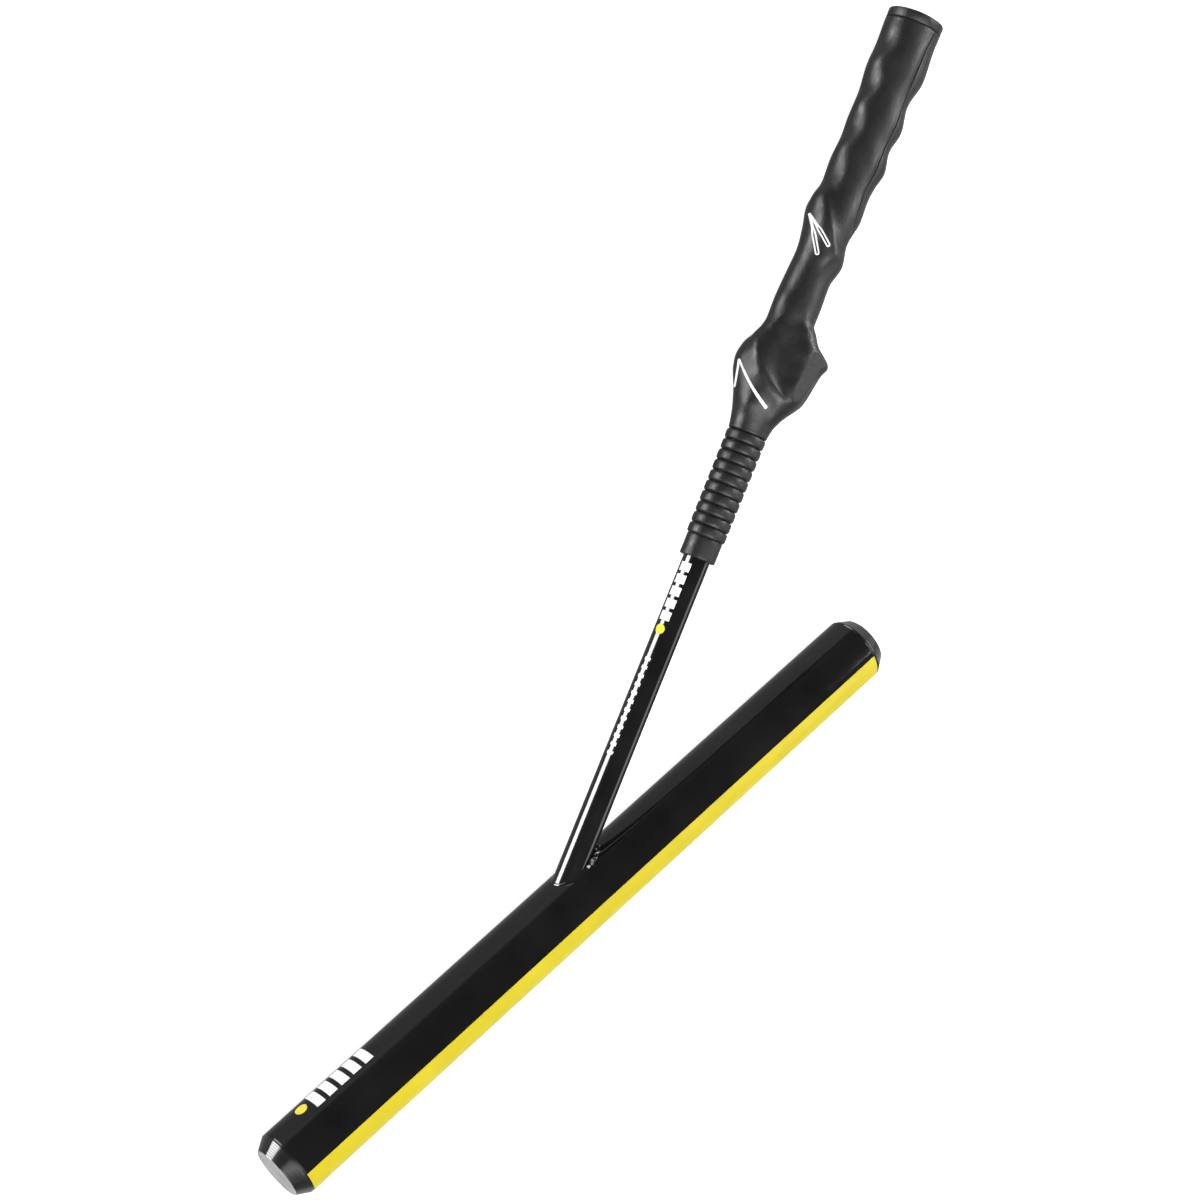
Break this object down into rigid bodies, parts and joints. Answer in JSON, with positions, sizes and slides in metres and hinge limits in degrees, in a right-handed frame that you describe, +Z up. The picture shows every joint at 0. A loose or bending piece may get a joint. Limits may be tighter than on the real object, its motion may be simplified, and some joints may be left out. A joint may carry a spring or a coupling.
{
  "type": "golf swing trainer",
  "caption": "Weighted golf swing trainer: a slim shaft with a moulded hand-position grip, welded at a slant to the side of a heavy capped tube with a stripe along it.",
  "frame": {"origin": "on the floor, under the middle of the overall box, with the trainer lying flat", "axes": "+X along the shaft towards the butt of the grip, +Z up, with the tube's and the shaft's axes level; the tube's upper end points to +X -Y"},
  "size_m": [0.5845, 0.229, 0.0333],
  "materials": {
    "black_paint": "high gloss black enamel over steel",
    "cap_plastic": "glossy moulded black plastic with fine turned rings",
    "yellow_vinyl": "smooth satin yellow vinyl tape",
    "white_print": "white screen print",
    "yellow_print": "yellow screen print",
    "grip_rubber": "fine matte moulded rubber with a light grain",
    "grip_tape": "tan double-sided paper tape",
    "guide_paint": "white paint filled in moulded lines"
  },
  "bodies": {
    "root": {"weight_tube": "black_paint", "shaft": "black_paint", "weld_bead": "black_paint", "lower_end_cap": "cap_plastic", "upper_end_cap": "cap_plastic", "alignment_stripe": "yellow_vinyl", "tube_mark_white": "white_print", "tube_mark_yellow": "yellow_print", "shaft_mark_white": "white_print", "shaft_mark_yellow": "yellow_print", "shaft_tick_row": "white_print", "grip_body": "grip_rubber", "grip_butt_cap": "grip_rubber", "grip_tape": "grip_tape", "upper_guide_mark": "guide_paint", "lower_guide_mark": "guide_paint"}
  },
  "joints": []
}
